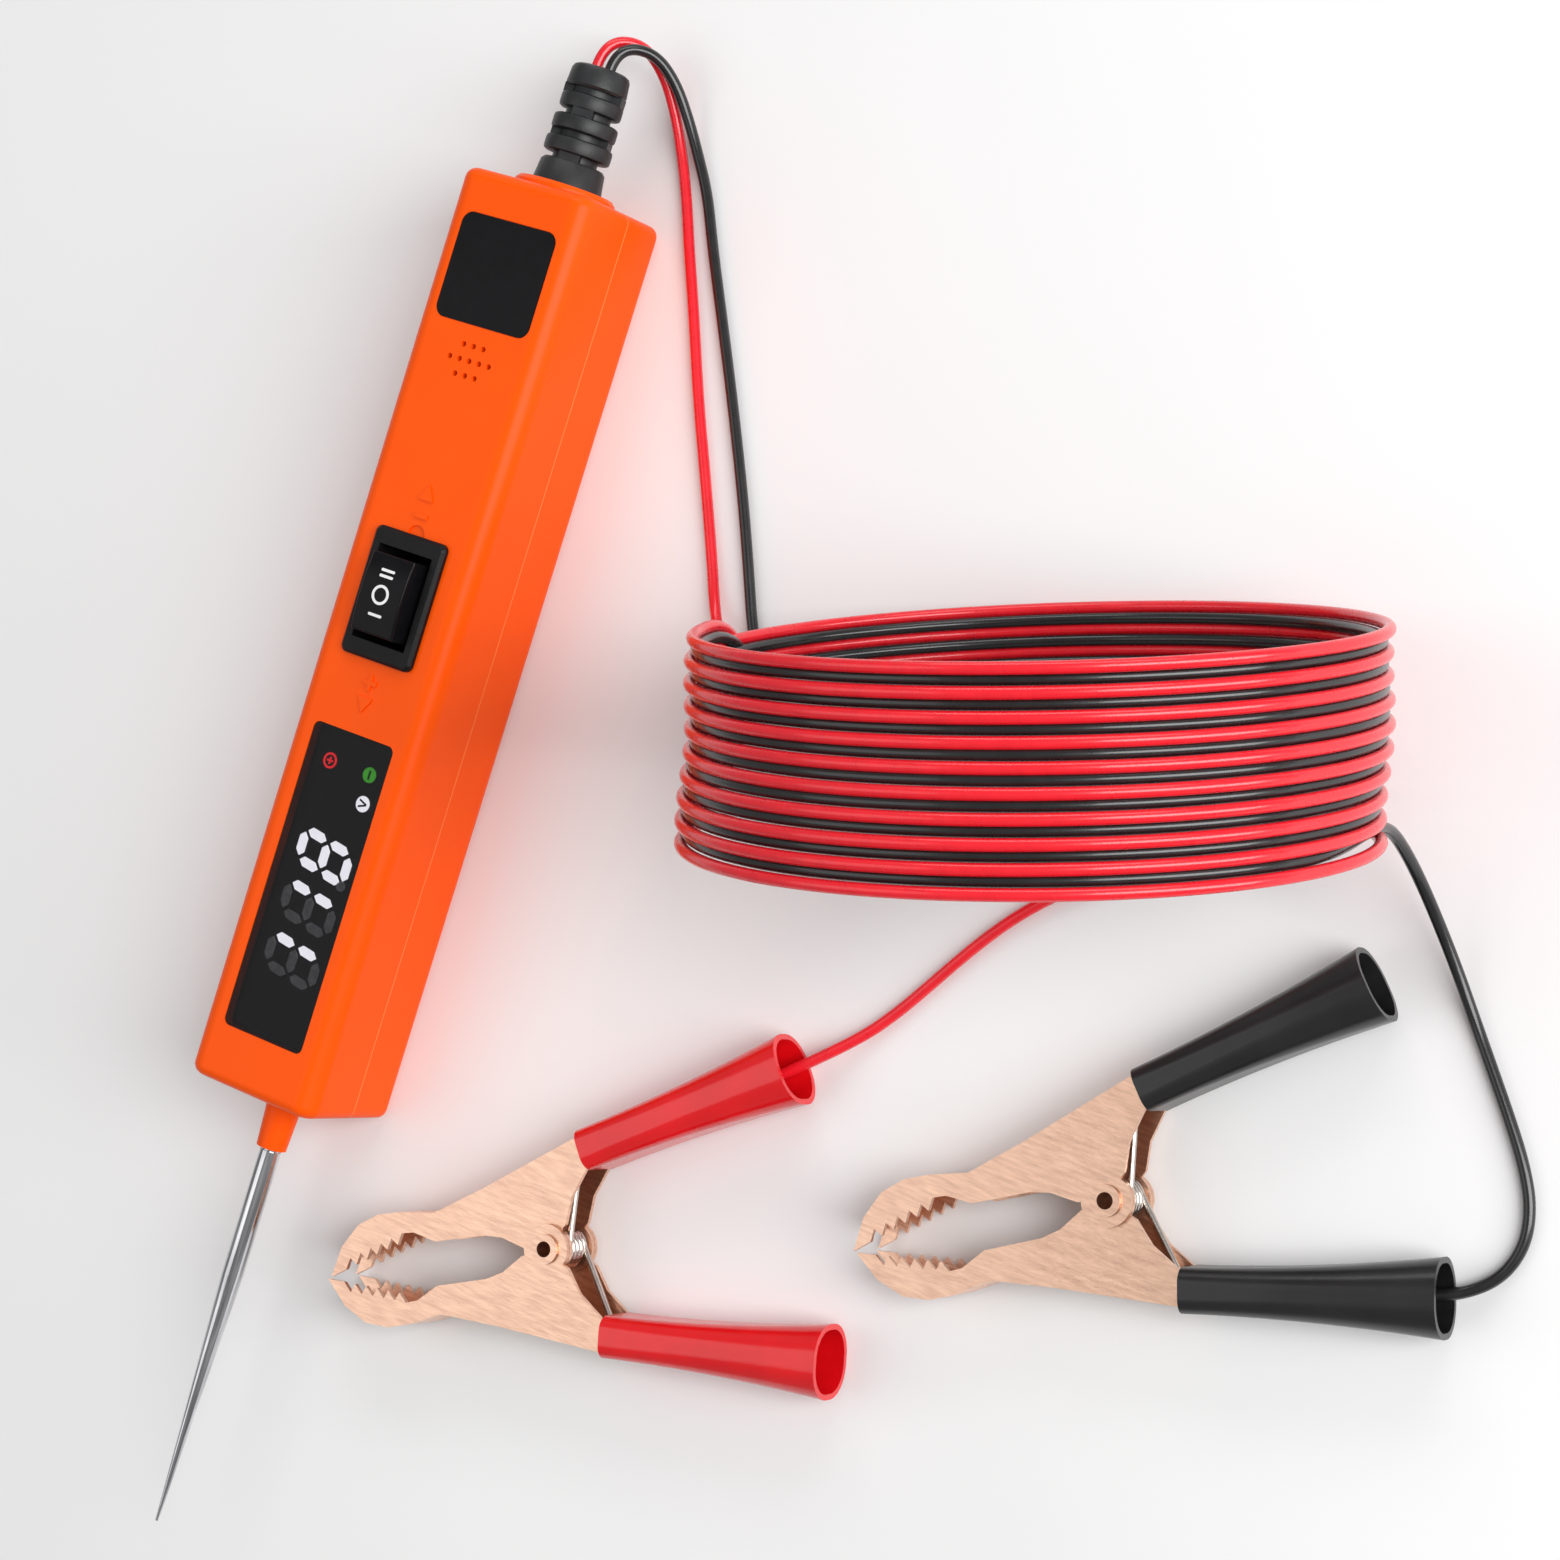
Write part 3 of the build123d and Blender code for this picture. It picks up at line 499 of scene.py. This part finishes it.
def look(name, colour, rough, metal=0.0, coat=0.0, vary=0.12, patch=400.0, bump=0.1, grain=3000.0,
         stretch=(1.0, 1.0, 1.0), turn=0.0, glow=0.0, alpha=1.0, depth=0.05, shine=0.5, line=None):
    """A moulded, painted or metal surface whose colour, roughness and height vary with noise.

    A line is a height, half its width and its colour: a thin level stripe, such as a parting line. Its colour
    is a painted highlight, lighter where light catches the seam.
    """
    material = bpy.data.materials.new(name)
    material.use_nodes = True
    tree = material.node_tree
    shader = tree.nodes["Principled BSDF"]
    shader.inputs["Metallic"].default_value = metal
    shader.inputs["Coat Weight"].default_value = coat
    shader.inputs["Coat Roughness"].default_value = COAT_ROUGH
    shader.inputs["Alpha"].default_value = alpha
    shader.inputs["Specular IOR Level"].default_value = shine

    def add(kind, **settings):
        made = tree.nodes.new(kind)
        for key, value in settings.items():
            setattr(made, key, value)
        return made

    place = add("ShaderNodeTexCoord")
    mapping = add("ShaderNodeMapping")
    mapping.inputs["Rotation"].default_value = (0.0, 0.0, math.radians(turn))
    mapping.inputs["Scale"].default_value = stretch
    tree.links.new(place.outputs["Object"], mapping.inputs["Vector"])
    patches = add("ShaderNodeTexNoise")
    patches.inputs["Scale"].default_value = patch
    patches.inputs["Detail"].default_value = 4.0
    tree.links.new(mapping.outputs["Vector"], patches.inputs["Vector"])
    tones = add("ShaderNodeValToRGB")
    tones.color_ramp.elements[0].position = 0.3
    tones.color_ramp.elements[0].color = (*[c * (1 - vary) for c in colour], 1.0)
    tones.color_ramp.elements[1].position = 0.7
    tones.color_ramp.elements[1].color = (*[min(1.0, c * (1 + vary)) for c in colour], 1.0)
    tree.links.new(patches.outputs["Fac"], tones.inputs["Fac"])
    tone = tones.outputs["Color"]
    # The stripe's lighter colour is a painted highlight along the seam.
    if line:
        height, half, seam_highlight_colour = line
        split = add("ShaderNodeSeparateXYZ")
        tree.links.new(place.outputs["Object"], split.inputs["Vector"])
        near = add("ShaderNodeMath", operation="COMPARE")
        near.inputs[1].default_value = height * MM
        near.inputs[2].default_value = half * MM
        tree.links.new(split.outputs["Z"], near.inputs[0])
        mix = add("ShaderNodeMix", data_type="RGBA")
        mix.inputs[7].default_value = (*seam_highlight_colour, 1.0)
        tree.links.new(near.outputs["Value"], mix.inputs[0])
        tree.links.new(tone, mix.inputs[6])
        tone = mix.outputs[2]
    tree.links.new(tone, shader.inputs["Base Color"])
    gloss = add("ShaderNodeMapRange")
    gloss.inputs["To Min"].default_value = max(0.02, rough - 0.05)
    gloss.inputs["To Max"].default_value = rough + 0.05
    tree.links.new(patches.outputs["Fac"], gloss.inputs["Value"])
    tree.links.new(gloss.outputs["Result"], shader.inputs["Roughness"])
    fine = add("ShaderNodeTexNoise")
    fine.inputs["Scale"].default_value = grain
    fine.inputs["Detail"].default_value = 3.0
    tree.links.new(mapping.outputs["Vector"], fine.inputs["Vector"])
    relief = add("ShaderNodeBump")
    relief.inputs["Strength"].default_value = bump
    relief.inputs["Distance"].default_value = depth * MM
    tree.links.new(fine.outputs["Fac"], relief.inputs["Height"])
    tree.links.new(relief.outputs["Normal"], shader.inputs["Normal"])
    if glow:
        tree.links.new(tone, shader.inputs["Emission Color"])
        shader.inputs["Emission Strength"].default_value = glow
    return material


LOOKS = {
    "orange_case": look("orange_plastic", (1.0, 0.094, 0.0), 0.36, vary=0.03, patch=60.0,
                        bump=0.25, grain=2600.0, depth=0.03, shine=0.14,
                        # The lighter stripe at the parting line, 11 mm up, is a painted highlight along the
                        # seam.
                        line=(11.0, 0.11, (1.0, 0.24, 0.06))),
    "black_plastic": look("black_abs", (0.008, 0.008, 0.009), 0.38, vary=0.25, bump=0.3, grain=3500.0,
                          shine=0.15),
    "black_gloss": look("black_gloss_plastic", (0.006, 0.006, 0.007), 0.2, vary=0.2, bump=0.05, shine=0.1),
    "black_rubber": look("black_rubber", (0.012, 0.013, 0.014), 0.46, vary=0.3, bump=0.5, grain=1800.0),
    "window": look("dark_window", (0.003, 0.003, 0.004), 0.06, vary=0.2, bump=0.02, grain=300.0,
                   alpha=0.6, shine=0.2),
    "lit_white": look("lit_segments_white", (0.92, 0.91, 1.0), 0.4, vary=0.03, patch=900.0, glow=5.0),
    # The unlit segments' faint glow is painted light: these segments are switched off.
    "dim_grey": look("unlit_segments_grey_painted_glow", (0.30, 0.30, 0.32), 0.45, vary=0.3, patch=1500.0, glow=0.6),
    "red_light": look("red_indicator", (0.95, 0.02, 0.03), 0.3, vary=0.1, glow=4.0),
    "green_light": look("green_indicator", (0.12, 0.8, 0.06), 0.3, vary=0.1, glow=1.6),
    "steel": look("bright_spring_steel", (0.66, 0.60, 0.55), 0.22, metal=1.0, vary=0.12, bump=0.2),
    # The needle's strong lengthwise streaks of dark and light tone are painted reflections along the chrome.
    "needle_chrome": look("polished_chrome", (0.62, 0.62, 0.64), 0.10, metal=1.0, vary=0.45, patch=1400.0,
                          bump=0.15, grain=4000.0, stretch=(1.0, 0.04, 1.0), depth=0.02),
    "brass": look("brass", (0.78, 0.52, 0.22), 0.3, metal=1.0, vary=0.15, bump=0.2),
    "copper_plate": look("brushed_copper_plate", (0.90, 0.56, 0.41), 0.30, metal=1.0, vary=0.18, patch=260.0,
                         bump=0.75, grain=900.0, stretch=(1.0, 7.0, 7.0), turn=ALONG_CLAMPS, depth=0.05),
    "board_green": look("circuit_board_green", (0.02, 0.16, 0.06), 0.4, vary=0.25, patch=900.0, bump=0.3),
    "red_pvc": look("red_vinyl", (0.72, 0.004, 0.008), 0.24, coat=0.35, vary=0.08, patch=120.0, bump=0.35,
                    grain=160.0, depth=0.25),
    "black_pvc": look("black_vinyl", (0.010, 0.010, 0.011), 0.34, coat=0.15, vary=0.2, patch=120.0, bump=0.35,
                      grain=160.0, depth=0.25),
}
PIECE_LOOKS = {
    "red_lead": look("red_lead_insulation", (0.80, 0.010, 0.022), 0.28, coat=0.3, vary=0.06, bump=0.1,
                     grain=900.0),
    "black_lead": look("black_lead_insulation", (0.010, 0.010, 0.011), 0.28, coat=0.3, vary=0.2, bump=0.1,
                       grain=900.0),
    "rocker_marks": look("white_print", (0.85, 0.85, 0.85), 0.5, vary=0.04, patch=1500.0),
}


def wear(piece, material):
    """Give a piece one material."""
    piece.data.materials.clear()
    piece.data.materials.append(material)


for subpart in frame["record"]["subparts"]:
    wear(nodes[subpart["node"]], LOOKS[subpart["material_slot"]])
for piece in [o for o in scene.objects if "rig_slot" in o]:
    wear(piece, PIECE_LOOKS.get(piece.name, LOOKS[piece["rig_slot"]]))


# === floor and light ===========================================================================
FLOOR_DROP = 0.1
FLOOR_HALF = 2.0
WORLD_STRENGTH = 0.30
LIGHT_AIM = (0.07, 0.0, 0.0)
LIGHTS = {
    "sheen": ((-0.38, -0.13, 0.74), (0.62, 0.62), 1.2),
    "key": ((0.80, 0.22, 0.58), (0.45, 0.9), 9.5),
    "rim": ((-0.05, 0.85, 0.50), (0.9, 0.3), 2.6),
}


def add_floor():
    """A pale floor, just under the object."""
    mesh = bmesh.new()
    bmesh.ops.create_grid(mesh, x_segments=8, y_segments=8, size=FLOOR_HALF)
    data = bpy.data.meshes.new("floor")
    mesh.to_mesh(data)
    mesh.free()
    floor = bpy.data.objects.new("floor", data)
    floor.location = (0.0, 0.0, -FLOOR_DROP * MM)
    scene.collection.objects.link(floor)
    wear(floor, look("pale_floor", (0.86, 0.86, 0.86), 0.7, vary=0.01, patch=6.0, bump=0.02))


def add_light(name, at, size, power):
    """A white rectangle of light, placed in metres and turned to the middle of the object."""
    data = bpy.data.lights.new(name, "AREA")
    data.shape = "RECTANGLE"
    data.size, data.size_y = size
    data.energy = power
    light = bpy.data.objects.new(name, data)
    light.location = at
    light.rotation_euler = (Vector(LIGHT_AIM) - Vector(at)).to_track_quat("-Z", "Y").to_euler()
    scene.collection.objects.link(light)


def add_world():
    """An even white surrounding."""
    world = bpy.data.worlds.new("studio")
    world.use_nodes = True
    background = world.node_tree.nodes["Background"]
    background.inputs["Color"].default_value = (1.0, 1.0, 1.0, 1.0)
    background.inputs["Strength"].default_value = WORLD_STRENGTH
    scene.world = world


add_floor()
add_world()
for name, (at, size, power) in LIGHTS.items():
    add_light(name, at, size, power)
scene.view_settings.view_transform = "Standard"
